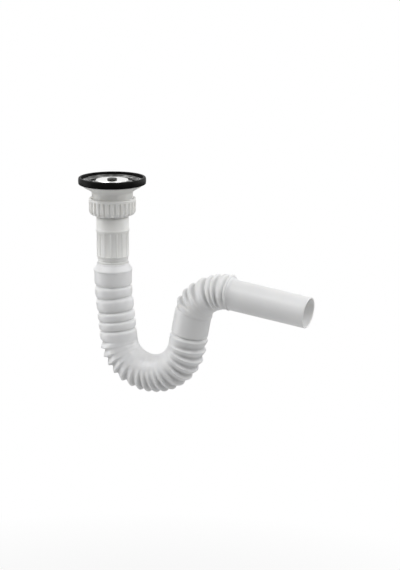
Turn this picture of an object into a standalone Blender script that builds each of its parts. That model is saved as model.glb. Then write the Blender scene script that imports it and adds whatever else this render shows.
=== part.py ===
"""Flexible sink trap: a screwed basin waste with a strainer, a union nut, a tailpiece and a
bellows hose bent into a U trap.

The waste's axis is world Z. The origin is the centre of the rubber washer's top face, so the
whole trap hangs below it, and the outlet points towards +X.
"""

import math

import bmesh
import bpy
from mathutils import Matrix, Vector

TAU = 2.0 * math.pi

# Gap between two pieces that touch, and between the nut's bore and the neck's thread
FIT = 0.0003
THREAD_GAP = 0.0004

# Rubber washer: a ring with a recess for the strainer and a skirt round the cup's rim
WASHER_RADIUS = 0.0350
WASHER_HEIGHT = 0.0071
WASHER_LIP = 0.0028
WASHER_SKIRT = 0.0033
WASHER_RECESS = 0.0031
WASHER_WEB = 0.0022
WASHER_ROUND = 0.0008

# Strainer: one pressed sheet with a flat rim, a perforated trough and a raised centre
SHEET = 0.0008
STRAINER_RIM = 0.0042
STRAINER_SLOPE = 0.0016
STRAINER_TROUGH = 0.0074
STRAINER_TROUGH_DEPTH = 0.0022
STRAINER_CENTRE_DROP = 0.0006
STRAINER_HOLES = 12
STRAINER_HOLE_RADIUS = 0.0025

# Centre screw and the brass insert that it screws into
SCREW_RADIUS = 0.0029
SCREW_LENGTH = 0.0250
SCREW_HEAD_RADIUS = 0.0052
SCREW_HEAD_HEIGHT = 0.0016
SCREW_SLOT_WIDTH = 0.0012
SCREW_SLOT_DEPTH = 0.0008
INSERT_RADIUS = 0.0044
INSERT_LENGTH = 0.0090

# Cup: rim, bowl and the neck that the nut screws onto, with a hub on four spokes inside
CUP_RIM_WIDTH = 0.0034
CUP_RIM_HEIGHT = 0.0020
CUP_BOWL_DEPTH = 0.0084
CUP_COLLAR_RADIUS = 0.0214
CUP_COLLAR_LENGTH = 0.0062
NECK_RADIUS = 0.02095
NECK_LENGTH = 0.0081
NECK_BORE = 0.0172
HUB_WALL = 0.0018
HUB_FLOOR = 0.0016
HUB_RISE = 0.0015
SPOKE_WIDTH = 0.0020
SPOKE_HEIGHT = 0.0080

# Flat seal and union nut
SEAL_THICKNESS = 0.0020
NUT_RADIUS = 0.0246
NUT_LIP = 0.0032
NUT_BAND = 0.0030
NUT_CHAMFER = 0.0010
NUT_FOOT_CHAMFER = 0.0022
NUT_FOOT_HEIGHT = 0.0032
NUT_RIBS = 28
NUT_GROOVE = 0.0007
NUT_TURNED = TAU / NUT_RIBS / 2

# Tailpiece: flange, tube with a bead and ribs, and a spigot that snaps into the hose
TAIL_RADIUS = 0.0170
TAIL_BORE = 0.0143
TAIL_FLANGE = 0.0024
TAIL_FLANGE_RADIUS = 0.0205
TAIL_BEAD_DROP = 0.0188
TAIL_BEAD_HEIGHT = 0.0020
TAIL_BEAD_RISE = 0.0005
TAIL_RIB_LENGTH = 0.0250
TAIL_RIBS = 16
TAIL_RIB_RISE = 0.0009
TAIL_TURNED = math.radians(-4.0)
TAIL_CHAMFER = 0.0025
SPIGOT_RADIUS = 0.0159
SPIGOT_SHOW = 0.0055
SPIGOT_DEPTH = 0.0220
SPIGOT_BARB_HEIGHT = 0.0040
TAIL_NUT_GAP = 0.0005

# Hose: collar, bellows, cuff, second bellows and plain outlet in one blown wall
HOSE_WALL = 0.0013
COLLAR_RADIUS = 0.0196
COLLAR_LIP_RISE = 0.0006
COLLAR_LIP_HEIGHT = 0.0015
COLLAR_MOUTH_WALL = 0.0010
COLLAR_SHOULDER = 0.0062
COLLAR_LENGTH = 0.0218
CREST_RADIUS = 0.0196
FOLD_DEPTH = 0.0019
CUFF_RADIUS = 0.0192
CUFF_LIP_HEIGHT = 0.0015
OUTLET_RADIUS = 0.0160
OUTLET_WALL = 0.0016
OUTLET_SHOULDER = 0.0030
OUTLET_CHAMFER = 0.0006

# Centreline of the hose: straight lengths, and bends by radius and angle
LEAN_RADIUS = 0.045
LEAN_ANGLE = math.radians(6.2)
LEG_LENGTH = 0.0548
DIP_RADIUS = 0.0348
DIP_ANGLE = math.radians(53.2)
RISE_RADIUS = 0.0418
RISE_ANGLE = math.radians(109.6)
CREST_LENGTH = 0.0348
TURN_RADIUS = 0.025
TURN_ANGLE = math.radians(41.0)
EASE_RADIUS = 0.049
EASE_ANGLE = math.radians(45.2)
OUTLET_LENGTH = 0.0827

# Folds: how many lie along each stretch of bellows, and how they open, nest and are pinched
LEG_FOLDS = 5
LEG_FOLD_TAPER = 0.35
DIP_FOLDS = 4
DIP_FOLD_PITCH = 0.0067
LOOSE_FOLDS = 2
LOOSE_FOLD_PITCH = 0.0081
BASE_FOLDS = 5
BASE_FOLD_PITCH = 0.0064
RISE_FOLDS = 5
RISE_FOLD_PITCH = 0.0078
TURN_FOLDS = 9
TURN_FOLD_TAPER = 0.30
TURN_PINCH = 0.0032
CUFF_START = 0.0137
CUFF_LENGTH = 0.0250
TURN_LENGTH = 0.0501
FOLD_RISE = 0.24
FOLD_CREST = 0.30
NESTED_FOLD_RISE = 0.42
NEST = 0.80
NEST_RADIUS = 0.040

# Facets round each kind of piece
SEGMENTS = 40
SCREW_SEGMENTS = 16
HOLE_SEGMENTS = 10
HOSE_SIDES = 24
BOWL_STEPS = 6

# Levels down the waste, each from the one above it
STRAINER_RIM_TOP = SHEET + FIT - WASHER_RECESS
STRAINER_CENTRE_TOP = STRAINER_RIM_TOP - STRAINER_CENTRE_DROP
CUP_TOP = -WASHER_RECESS - WASHER_WEB - FIT
BOWL_TOP = CUP_TOP - CUP_RIM_HEIGHT
BOWL_BOTTOM = BOWL_TOP - CUP_BOWL_DEPTH
NECK_TOP = BOWL_BOTTOM - CUP_COLLAR_LENGTH
NECK_BOTTOM = NECK_TOP - NECK_LENGTH
SEAL_TOP = NECK_BOTTOM - FIT
FLANGE_TOP = SEAL_TOP - SEAL_THICKNESS - FIT
FLANGE_BOTTOM = FLANGE_TOP - TAIL_FLANGE
NUT_LIP_TOP = FLANGE_BOTTOM - FIT
NUT_BOTTOM = NUT_LIP_TOP - NUT_LIP
NUT_TOP = NECK_TOP - FIT
BEAD_TOP = FLANGE_BOTTOM - TAIL_BEAD_DROP
BEAD_BOTTOM = BEAD_TOP - TAIL_BEAD_HEIGHT
RIB_TOP = BEAD_BOTTOM - TAIL_BEAD_HEIGHT / 2
RIB_BOTTOM = RIB_TOP - TAIL_RIB_LENGTH
CHAMFER_BOTTOM = RIB_BOTTOM - TAIL_CHAMFER
MOUTH_TOP = CHAMFER_BOTTOM - SPIGOT_SHOW
SPIGOT_BOTTOM = MOUTH_TOP - SPIGOT_DEPTH

# Radii that follow from the pieces inside or outside
STRAINER_RADIUS = WASHER_RADIUS - WASHER_LIP - FIT
WASHER_HOLE = STRAINER_RADIUS - STRAINER_RIM + FIT
TROUGH_OUTER = STRAINER_RADIUS - STRAINER_RIM - STRAINER_SLOPE
TROUGH_INNER = TROUGH_OUTER - STRAINER_TROUGH
CUP_RIM_RADIUS = WASHER_RADIUS - WASHER_SKIRT - FIT
CUP_MOUTH = CUP_RIM_RADIUS - CUP_RIM_WIDTH
HUB_RADIUS = INSERT_RADIUS + FIT + HUB_WALL
NUT_BORE = NECK_RADIUS + THREAD_GAP
COLLAR_MOUTH = SPIGOT_RADIUS + FIT
COLLAR_BORE = COLLAR_RADIUS - HOSE_WALL

# The hub stands on its spokes just below the bowl, with the insert in it
SPOKE_TOP = BOWL_BOTTOM - FIT
SPOKE_BOTTOM = SPOKE_TOP - SPOKE_HEIGHT
HUB_TOP = SPOKE_TOP + HUB_RISE
INSERT_TOP = HUB_TOP - FIT
POCKET_BOTTOM = INSERT_TOP - INSERT_LENGTH - FIT
HUB_BOTTOM = POCKET_BOTTOM - HUB_FLOOR

# Stations along the hose's centreline, measured from the collar's mouth
LEG_START = COLLAR_LENGTH + COLLAR_LIP_HEIGHT
LEG_END = LEG_START + LEAN_RADIUS * LEAN_ANGLE + LEG_LENGTH
TRAP_END = LEG_END + DIP_RADIUS * DIP_ANGLE + RISE_RADIUS * RISE_ANGLE
CUFF_FROM = TRAP_END + CUFF_START
CUFF_TO = CUFF_FROM + CUFF_LENGTH
TURN_END = CUFF_TO + TURN_LENGTH
OUTLET_FROM = TRAP_END + CREST_LENGTH + TURN_RADIUS * TURN_ANGLE + EASE_RADIUS * EASE_ANGLE
HOSE_END = OUTLET_FROM + OUTLET_LENGTH


def clear_scene():
    for item in list(bpy.data.objects):
        bpy.data.objects.remove(item, do_unlink=True)


def make_material(name, colour, roughness, metallic=0.0):
    material = bpy.data.materials.new(name)
    material.use_nodes = True
    shader = material.node_tree.nodes["Principled BSDF"]
    shader.inputs["Base Color"].default_value = (*colour, 1.0)
    shader.inputs["Roughness"].default_value = roughness
    shader.inputs["Metallic"].default_value = metallic
    return material


def finish(bm, name, material):
    """Turn a bmesh into a named object with outward faces and smooth round sides."""
    bmesh.ops.remove_doubles(bm, verts=bm.verts, dist=1e-6)
    bmesh.ops.recalc_face_normals(bm, faces=bm.faces)
    mesh = bpy.data.meshes.new(name)
    bm.to_mesh(mesh)
    bm.free()
    mesh.materials.append(material)
    mesh.shade_smooth()
    mesh.set_sharp_from_angle(angle=math.radians(35.0))
    piece = bpy.data.objects.new(name, mesh)
    bpy.context.collection.objects.link(piece)
    return piece


def spin_profile(profile, segments, closed=True):
    """Spin (radius, height) points about Z; a profile that ends on the axis isn't closed."""
    bm = bmesh.new()
    verts = [bm.verts.new((radius, 0.0, height)) for radius, height in profile]
    edges = [bm.edges.new(pair) for pair in zip(verts, verts[1:])]
    if closed:
        edges.append(bm.edges.new((verts[-1], verts[0])))
    bmesh.ops.spin(
        bm,
        geom=verts + edges,
        cent=(0.0, 0.0, 0.0),
        axis=(0.0, 0.0, 1.0),
        angle=TAU,
        steps=segments,
        use_merge=True,
    )
    return bm


def reshape_sides(bm, low, high, beyond, radius_at):
    """Give the outer wall between two heights a radius that depends on the angle."""
    for vert in bm.verts:
        flat = Vector((vert.co.x, vert.co.y, 0.0))
        if low <= vert.co.z <= high and flat.length > beyond:
            flat *= radius_at(math.atan2(flat.y, flat.x)) / flat.length
            vert.co = (flat.x, flat.y, vert.co.z)


def turn_about_axis(bm, angle):
    """Set how far a ribbed piece is turned about the waste's axis."""
    bmesh.ops.rotate(bm, verts=bm.verts, matrix=Matrix.Rotation(angle, 3, "Z"))


def step_of(angle, steps):
    """Which of the equal steps round a circle an angle falls on."""
    return round(angle / TAU * steps) % steps


def combine(piece, tool, operation):
    """Add a Boolean with a hidden tool object."""
    tool.hide_render = True
    tool.display_type = "WIRE"
    modifier = piece.modifiers.new(operation.title() + " " + tool.name, "BOOLEAN")
    modifier.operation = operation
    modifier.solver = "EXACT"
    modifier.object = tool


def cylinder_tool(name, radius, low, high, place=(0.0, 0.0), segments=HOLE_SEGMENTS):
    bm = bmesh.new()
    bmesh.ops.create_cone(
        bm,
        cap_ends=True,
        segments=segments,
        radius1=radius,
        radius2=radius,
        depth=high - low,
        matrix=Matrix.Translation((*place, (low + high) / 2)),
    )
    return finish(bm, name, bpy.data.materials["tool"])


def box_tool(name, size, centre):
    bm = bmesh.new()
    matrix = Matrix.Translation(centre) @ Matrix.Diagonal((*size, 1.0))
    bmesh.ops.create_cube(bm, size=1.0, matrix=matrix)
    return finish(bm, name, bpy.data.materials["tool"])


def make_washer(material):
    skirt_inside = WASHER_RADIUS - WASHER_SKIRT
    lip_inside = WASHER_RADIUS - WASHER_LIP
    profile = [
        (WASHER_RADIUS - WASHER_ROUND, 0.0),
        (WASHER_RADIUS, -WASHER_ROUND),
        (WASHER_RADIUS, WASHER_ROUND - WASHER_HEIGHT),
        (WASHER_RADIUS - WASHER_ROUND, -WASHER_HEIGHT),
        (skirt_inside, -WASHER_HEIGHT),
        (skirt_inside, -WASHER_RECESS - WASHER_WEB),
        (WASHER_HOLE, -WASHER_RECESS - WASHER_WEB),
        (WASHER_HOLE, -WASHER_RECESS),
        (lip_inside, -WASHER_RECESS),
        (lip_inside, 0.0),
    ]
    return finish(spin_profile(profile, SEGMENTS), "sink_washer", material)


def make_strainer(material):
    trough_top = STRAINER_RIM_TOP - STRAINER_TROUGH_DEPTH
    upper = [
        (STRAINER_RADIUS, STRAINER_RIM_TOP),
        (STRAINER_RADIUS - STRAINER_RIM, STRAINER_RIM_TOP),
        (TROUGH_OUTER, trough_top),
        (TROUGH_INNER, trough_top),
        (TROUGH_INNER - STRAINER_SLOPE, STRAINER_CENTRE_TOP),
        (SCREW_RADIUS + FIT, STRAINER_CENTRE_TOP),
    ]
    lower = [(radius, height - SHEET) for radius, height in reversed(upper)]
    strainer = finish(spin_profile(upper + lower, SEGMENTS), "strainer", material)

    ring = (TROUGH_OUTER + TROUGH_INNER) / 2
    holes = bmesh.new()
    for index in range(STRAINER_HOLES):
        turn = Matrix.Rotation(TAU * index / STRAINER_HOLES, 4, "Z")
        bmesh.ops.create_cone(
            holes,
            cap_ends=True,
            segments=HOLE_SEGMENTS,
            radius1=STRAINER_HOLE_RADIUS,
            radius2=STRAINER_HOLE_RADIUS,
            depth=SHEET * 3,
            matrix=turn @ Matrix.Translation((ring, 0.0, trough_top - SHEET / 2)),
        )
    tool = finish(holes, "strainer_holes_tool", bpy.data.materials["tool"])
    combine(strainer, tool, "DIFFERENCE")
    return strainer


def make_screw(material):
    seat = STRAINER_CENTRE_TOP + FIT
    head_top = seat + SCREW_HEAD_HEIGHT
    tip = seat - SCREW_LENGTH
    profile = [
        (0.0, head_top),
        (SCREW_HEAD_RADIUS * 0.7, head_top),
        (SCREW_HEAD_RADIUS, head_top - SCREW_HEAD_HEIGHT / 2),
        (SCREW_HEAD_RADIUS, seat),
        (SCREW_RADIUS, seat),
        (SCREW_RADIUS, tip + SCREW_RADIUS / 2),
        (SCREW_RADIUS / 2, tip),
        (0.0, tip),
    ]
    bm = spin_profile(profile, SCREW_SEGMENTS, closed=False)
    screw = finish(bm, "centre_screw", material)
    size = (SCREW_HEAD_RADIUS * 3, SCREW_SLOT_WIDTH, SCREW_SLOT_DEPTH * 2)
    combine(screw, box_tool("screw_slot_tool", size, (0.0, 0.0, head_top)), "DIFFERENCE")
    return screw


def make_insert(material):
    bore = SCREW_RADIUS + FIT
    bottom = INSERT_TOP - INSERT_LENGTH
    profile = [
        (INSERT_RADIUS, INSERT_TOP),
        (INSERT_RADIUS, bottom),
        (bore, bottom),
        (bore, INSERT_TOP),
    ]
    return finish(spin_profile(profile, SCREW_SEGMENTS), "insert_nut", material)


def bowl_curve(wide, narrow, top, bottom):
    """Half a cosine wave from the bowl's wide top to its narrow foot."""
    points = []
    for index in range(BOWL_STEPS + 1):
        share = index / BOWL_STEPS
        swing = (1.0 + math.cos(math.pi * share)) / 2
        points.append((narrow + (wide - narrow) * swing, top + (bottom - top) * share))
    return points


def make_waste_body(material):
    outer = bowl_curve(CUP_RIM_RADIUS, CUP_COLLAR_RADIUS, BOWL_TOP, BOWL_BOTTOM)
    inner = bowl_curve(CUP_MOUTH, NECK_BORE, BOWL_TOP, BOWL_BOTTOM - CUP_RIM_HEIGHT / 2)
    profile = [(CUP_MOUTH, CUP_TOP), (CUP_RIM_RADIUS, CUP_TOP)]
    profile += outer
    profile += [
        (CUP_COLLAR_RADIUS, NECK_TOP),
        (NECK_RADIUS, NECK_TOP),
        (NECK_RADIUS, NECK_BOTTOM),
        (NECK_BORE, NECK_BOTTOM),
    ]
    profile += reversed(inner)
    body = finish(spin_profile(profile, SEGMENTS), "waste_body", material)

    hub = cylinder_tool("hub_tool", HUB_RADIUS, HUB_BOTTOM, HUB_TOP, segments=SCREW_SEGMENTS)
    combine(body, hub, "UNION")
    reach = NECK_BORE + NECK_RADIUS
    level = (SPOKE_TOP + SPOKE_BOTTOM) / 2
    along = box_tool("spoke_x_tool", (reach, SPOKE_WIDTH, SPOKE_HEIGHT), (0.0, 0.0, level))
    across = box_tool("spoke_y_tool", (SPOKE_WIDTH, reach, SPOKE_HEIGHT), (0.0, 0.0, level))
    combine(body, along, "UNION")
    combine(body, across, "UNION")
    pocket = cylinder_tool(
        "pocket_tool", INSERT_RADIUS + FIT, POCKET_BOTTOM, HUB_TOP + FIT, segments=SCREW_SEGMENTS
    )
    combine(body, pocket, "DIFFERENCE")
    drain = cylinder_tool(
        "screw_hole_tool", SCREW_RADIUS + FIT, HUB_BOTTOM - FIT, POCKET_BOTTOM + FIT
    )
    combine(body, drain, "DIFFERENCE")
    return body


def make_seal(material):
    outside = TAIL_FLANGE_RADIUS
    bottom = SEAL_TOP - SEAL_THICKNESS
    profile = [
        (outside, SEAL_TOP),
        (outside, bottom),
        (NECK_BORE, bottom),
        (NECK_BORE, SEAL_TOP),
    ]
    return finish(spin_profile(profile, SEGMENTS), "tail_washer", material)


def make_nut(material):
    lip_hole = TAIL_RADIUS + TAIL_NUT_GAP + TAIL_BEAD_RISE
    profile = [
        (NUT_BORE, NUT_TOP),
        (NUT_RADIUS - NUT_CHAMFER, NUT_TOP),
        (NUT_RADIUS, NUT_TOP - NUT_CHAMFER),
        (NUT_RADIUS, NUT_TOP - NUT_BAND),
        (NUT_RADIUS, NUT_TOP - NUT_BAND - NUT_GROOVE),
        (NUT_RADIUS, NUT_BOTTOM + NUT_FOOT_HEIGHT),
        (NUT_RADIUS - NUT_FOOT_CHAMFER, NUT_BOTTOM),
        (lip_hole, NUT_BOTTOM),
        (lip_hole, NUT_LIP_TOP),
        (NUT_BORE, NUT_LIP_TOP),
    ]
    steps = NUT_RIBS * 3
    bm = spin_profile(profile, steps)

    def grip(angle):
        in_groove = step_of(angle, steps) % 3 == 0
        return NUT_RADIUS - (NUT_GROOVE if in_groove else 0.0)

    low = NUT_BOTTOM + NUT_FOOT_HEIGHT / 2
    high = NUT_TOP - NUT_BAND - NUT_GROOVE / 2
    reshape_sides(bm, low, high, NUT_RADIUS - NUT_CHAMFER, grip)
    turn_about_axis(bm, NUT_TURNED)
    return finish(bm, "union_nut", material)


def make_tailpiece(material):
    barb_radius = COLLAR_BORE - FIT
    barb_top = SPIGOT_BOTTOM + SPIGOT_BARB_HEIGHT
    bead = TAIL_RADIUS + TAIL_BEAD_RISE
    profile = [
        (TAIL_BORE, FLANGE_TOP),
        (TAIL_FLANGE_RADIUS, FLANGE_TOP),
        (TAIL_FLANGE_RADIUS, FLANGE_BOTTOM),
        (TAIL_RADIUS, FLANGE_BOTTOM),
        (TAIL_RADIUS, BEAD_TOP + TAIL_BEAD_RISE),
        (bead, BEAD_TOP),
        (bead, BEAD_BOTTOM),
        (TAIL_RADIUS, RIB_TOP),
        (TAIL_RADIUS, RIB_TOP - TAIL_RIB_RISE),
        (TAIL_RADIUS, RIB_BOTTOM),
        (SPIGOT_RADIUS, CHAMFER_BOTTOM),
        (SPIGOT_RADIUS, barb_top),
        (barb_radius, barb_top - FIT),
        (SPIGOT_RADIUS, SPIGOT_BOTTOM),
        (TAIL_BORE, SPIGOT_BOTTOM),
    ]
    steps = TAIL_RIBS * 3
    bm = spin_profile(profile, steps)

    def ribbed(angle):
        on_rib = step_of(angle, steps) % 3 == 0
        return TAIL_RADIUS - (0.0 if on_rib else TAIL_RIB_RISE)

    low = RIB_BOTTOM - TAIL_RIB_RISE / 2
    high = RIB_TOP - TAIL_RIB_RISE / 2
    reshape_sides(bm, low, high, SPIGOT_RADIUS, ribbed)
    turn_about_axis(bm, TAIL_TURNED)
    return finish(bm, "tailpiece", material)


def route_at(distance):
    """Point in the XZ plane, heading and bend (1/radius) along the hose's centreline."""
    sections = [
        (LEG_START, 0.0),
        (LEAN_RADIUS * LEAN_ANGLE, LEAN_ANGLE),
        (LEG_LENGTH, 0.0),
        (DIP_RADIUS * DIP_ANGLE, DIP_ANGLE),
        (RISE_RADIUS * RISE_ANGLE, RISE_ANGLE),
        (CREST_LENGTH, 0.0),
        (TURN_RADIUS * TURN_ANGLE, -TURN_ANGLE),
        (EASE_RADIUS * EASE_ANGLE, -EASE_ANGLE),
        (OUTLET_LENGTH, 0.0),
    ]
    x = 0.0
    z = MOUTH_TOP
    heading = -math.pi / 2
    bend = 0.0
    for length, turn in sections:
        step = min(distance, length)
        bend = turn / length
        after = heading + bend * step
        if turn:
            x += (math.sin(after) - math.sin(heading)) / bend
            z -= (math.cos(after) - math.cos(heading)) / bend
        else:
            x += math.cos(heading) * step
            z += math.sin(heading) * step
        heading = after
        distance -= step
        if distance <= 0.0:
            break
    return x, z, heading, bend


def fold_edges(start, end, folds, taper=0.0):
    """Where each fold of a bellows begins; a taper makes the first folds the longest."""
    lengths = [1.0 + taper * (0.5 - (index + 0.5) / folds) for index in range(folds)]
    edges = [start]
    for length in lengths:
        edges.append(edges[-1] + length * (end - start) / sum(lengths))
    return edges


def trap_fold_edges():
    """Where the folds of the U begin: close in the dip and the base, loose between and on the rise."""
    edges = [LEG_END]
    for folds, pitch in (
        (DIP_FOLDS, DIP_FOLD_PITCH),
        (LOOSE_FOLDS, LOOSE_FOLD_PITCH),
        (BASE_FOLDS, BASE_FOLD_PITCH),
        (RISE_FOLDS, RISE_FOLD_PITCH),
    ):
        edges += [edges[-1] + pitch * (index + 1) for index in range(folds)]
    return edges + [CUFF_FROM]


def fold_ring(distance, crest_radius, valley=0.0, pinch=0.0):
    """One ring of the hose; on the inner side of a bend folds nest, and the wall may be pinched in."""
    x, z, heading, bend = route_at(distance)
    centre = Vector((x, 0.0, z))
    left = Vector((-math.sin(heading), 0.0, math.cos(heading)))
    nested = NEST * min(1.0, abs(bend) * NEST_RADIUS)
    inner_side = math.copysign(1.0, bend)
    ring = []
    for index in range(HOSE_SIDES):
        angle = TAU * index / HOSE_SIDES
        inner_share = (1.0 + inner_side * math.cos(angle)) / 2
        radius = crest_radius - FOLD_DEPTH * valley * (1.0 - nested * inner_share)
        radius -= pinch * inner_share**2
        ring.append(centre + radius * (left * math.cos(angle) + Vector((0.0, math.sin(angle), 0.0))))
    return ring


def bellows(edges, crest_radius, rise, crest, pinch=0.0):
    """Rings of a bellows: each fold is a cone up, a crest and a cone down; a pinch grows to its end."""
    stations = []
    for start, end in zip(edges, edges[1:]):
        pitch = end - start
        stations += [(start, 1.0), (start + rise * pitch, 0.0)]
        if crest:
            stations.append((start + (rise + crest) * pitch, 0.0))
    stations.append((edges[-1], 1.0))
    rings = []
    for distance, valley in stations:
        share = (distance - edges[0]) / (edges[-1] - edges[0])
        rings.append(fold_ring(distance, crest_radius, valley, pinch * share**3))
    return rings


def bridge_rings(rings):
    """Skin a closed chain of equal rings."""
    bm = bmesh.new()
    loops = []
    for ring in rings:
        verts = [bm.verts.new(point) for point in ring]
        loops.append([bm.edges.new((verts[index - 1], verts[index])) for index in range(len(verts))])
    for here, there in zip(loops, loops[1:] + loops[:1]):
        bmesh.ops.bridge_loops(bm, edges=here + there)
    return bm


def make_hose(material):
    leg = fold_edges(LEG_START, LEG_END, LEG_FOLDS, LEG_FOLD_TAPER)
    trap = trap_fold_edges()
    turn = fold_edges(CUFF_TO, TURN_END, TURN_FOLDS, TURN_FOLD_TAPER)
    lip = COLLAR_RADIUS + COLLAR_LIP_RISE
    lip_end = COLLAR_SHOULDER + COLLAR_LIP_HEIGHT
    shoulder_end = TURN_END + OUTLET_SHOULDER

    outside = [fold_ring(0.0, COLLAR_MOUTH + COLLAR_MOUTH_WALL)]
    outside.append(fold_ring(COLLAR_SHOULDER, lip))
    outside.append(fold_ring(lip_end, lip))
    outside.append(fold_ring(lip_end, COLLAR_RADIUS))
    outside.append(fold_ring(COLLAR_LENGTH, COLLAR_RADIUS))
    outside += bellows(leg, CREST_RADIUS, FOLD_RISE, FOLD_CREST)[:-1]
    outside += bellows(trap, CREST_RADIUS, NESTED_FOLD_RISE, 0.0)
    outside.append(fold_ring(CUFF_FROM + CUFF_LIP_HEIGHT, CUFF_RADIUS))
    outside.append(fold_ring(CUFF_TO - CUFF_LIP_HEIGHT, CUFF_RADIUS))
    outside += bellows(turn, CREST_RADIUS, NESTED_FOLD_RISE, 0.0, TURN_PINCH)
    outside.append(fold_ring(shoulder_end, OUTLET_RADIUS))
    outside.append(fold_ring(HOSE_END - OUTLET_CHAMFER, OUTLET_RADIUS))
    outside.append(fold_ring(HOSE_END, OUTLET_RADIUS - OUTLET_CHAMFER))

    crest = CREST_RADIUS - HOSE_WALL
    bore = OUTLET_RADIUS - OUTLET_WALL
    inside = [fold_ring(0.0, COLLAR_MOUTH)]
    inside.append(fold_ring(COLLAR_MOUTH_WALL, COLLAR_MOUTH))
    inside.append(fold_ring(lip_end, COLLAR_BORE))
    inside.append(fold_ring(COLLAR_LENGTH, COLLAR_BORE))
    inside += bellows(leg, crest, FOLD_RISE + FOLD_CREST / 2, 0.0)[:-1]
    inside += bellows(trap, crest, NESTED_FOLD_RISE, 0.0)
    inside.append(fold_ring(CUFF_FROM + CUFF_LIP_HEIGHT, CUFF_RADIUS - HOSE_WALL))
    inside.append(fold_ring(CUFF_TO - CUFF_LIP_HEIGHT, CUFF_RADIUS - HOSE_WALL))
    inside += bellows(turn, crest, NESTED_FOLD_RISE, 0.0, TURN_PINCH)
    inside.append(fold_ring(shoulder_end, bore))
    inside.append(fold_ring(HOSE_END, bore))
    return finish(bridge_rings(outside + inside[::-1]), "hose", material)


def hang(pieces, name, parent=None):
    """Parent moving pieces to an empty on the waste's axis."""
    axis = bpy.data.objects.new(name, None)
    bpy.context.collection.objects.link(axis)
    axis.parent = parent
    for piece in pieces:
        piece.parent = axis
    return axis


def main():
    clear_scene()
    make_material("tool", (0.8, 0.2, 0.2), 0.8)
    white = (0.82, 0.82, 0.80)
    washer = make_washer(make_material("sink_washer_rubber", (0.012, 0.012, 0.012), 0.45))
    strainer = make_strainer(make_material("strainer_steel", (0.72, 0.72, 0.72), 0.15, 1.0))
    screw = make_screw(make_material("screw_steel", (0.60, 0.60, 0.60), 0.25, 1.0))
    insert = make_insert(make_material("insert_brass", (0.72, 0.55, 0.25), 0.30, 1.0))
    body = make_waste_body(make_material("waste_body_plastic", white, 0.35))
    seal = make_seal(make_material("tail_washer_rubber", (0.03, 0.03, 0.03), 0.60))
    nut = make_nut(make_material("union_nut_plastic", white, 0.35))
    tail = make_tailpiece(make_material("tailpiece_plastic", white, 0.35))
    hose = make_hose(make_material("hose_plastic", (0.78, 0.78, 0.77), 0.40))

    hang([washer, strainer, screw, insert, body], "waste_axis")
    drop = hang([seal], "drop_axis")
    hang([nut], "nut_axis", drop)
    hang([tail, hose], "swivel_axis", drop)


main()
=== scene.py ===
# %% [markdown]
# A flexible sink trap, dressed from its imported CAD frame
#
# The frame holds nine solids: the rubber washer, the strainer and its screw, the brass insert, the screwed
# waste body, the flat seal, the union nut, the tailpiece and the bellows hose. Their places and sizes are
# fixed. This lesson turns finer pieces round the same axes, with rounded edges, a real thread and real folds,
# and gives every surface the finish that the moulded, blown, pressed or turned original has.

# %% Load the frame
import math

import bmesh
import bpy
from mathutils import Matrix, Vector


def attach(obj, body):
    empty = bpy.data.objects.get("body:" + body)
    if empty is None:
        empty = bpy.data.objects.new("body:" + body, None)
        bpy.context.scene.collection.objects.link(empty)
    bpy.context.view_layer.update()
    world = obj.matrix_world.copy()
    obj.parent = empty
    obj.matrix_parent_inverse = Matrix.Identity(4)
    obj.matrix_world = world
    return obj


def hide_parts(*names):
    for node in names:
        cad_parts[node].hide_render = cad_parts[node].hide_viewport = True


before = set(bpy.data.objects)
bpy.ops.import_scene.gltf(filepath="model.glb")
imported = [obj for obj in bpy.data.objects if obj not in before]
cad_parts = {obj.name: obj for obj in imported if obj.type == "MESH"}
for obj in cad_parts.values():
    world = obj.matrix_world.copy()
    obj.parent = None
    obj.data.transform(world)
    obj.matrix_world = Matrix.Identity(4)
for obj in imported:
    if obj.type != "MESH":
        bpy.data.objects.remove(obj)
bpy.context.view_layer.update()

# %% [markdown]
# The camera
#
# The photograph looks at the trap a little from the right and a little from above, from far enough away that
# the edges stay almost parallel. The camera is placed by working backwards: its direction is known, and the
# washer's top centre has to land on one point of the picture, so the camera's place follows from the two.

# %% Place the camera
PICTURE = (400, 570)
FOCAL_PIXELS = 1934.0
CAMERA_DISTANCE = 2.0
AZIMUTH = math.radians(24.5)
ELEVATION = math.radians(13.2)
WASHER_PIXEL = (112.1, 177.0)
SENSOR = 36.0

forward = Vector((
    -math.sin(AZIMUTH) * math.cos(ELEVATION),
    math.cos(AZIMUTH) * math.cos(ELEVATION),
    -math.sin(ELEVATION),
))
rightward = Vector((math.cos(AZIMUTH), math.sin(AZIMUTH), 0.0))
upward = rightward.cross(forward)
across = (WASHER_PIXEL[0] - PICTURE[0] / 2) / FOCAL_PIXELS
down = (WASHER_PIXEL[1] - PICTURE[1] / 2) / FOCAL_PIXELS
eye = -(forward + across * rightward - down * upward) * CAMERA_DISTANCE

camera_data = bpy.data.cameras.new("photo_camera")
camera_data.sensor_fit = "VERTICAL"
camera_data.sensor_height = SENSOR
camera_data.lens = FOCAL_PIXELS / PICTURE[1] * SENSOR
camera_data.clip_end = 50.0
camera = bpy.data.objects.new("photo_camera", camera_data)
bpy.context.scene.collection.objects.link(camera)
camera.matrix_world = Matrix.Translation(eye) @ Matrix((rightward, upward, -forward)).transposed().to_4x4()
bpy.context.scene.camera = camera
print("camera at", tuple(round(value, 3) for value in eye), "lens", round(camera_data.lens, 1))

# %% [markdown]
# Turned pieces
#
# Almost everything on a waste is round, so most pieces start as a half section: a few points joined by edges.
# `bmesh.ops.spin` sweeps it about the waste's axis. The lines where the section turns a corner come out
# razor-sharp, which no moulding has, so a bevel then rounds every edge above a chosen angle.

# %% Helpers for turned pieces
TAU = 2.0 * math.pi
MM = 0.001
MERGE_DISTANCE = 1e-7


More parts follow.
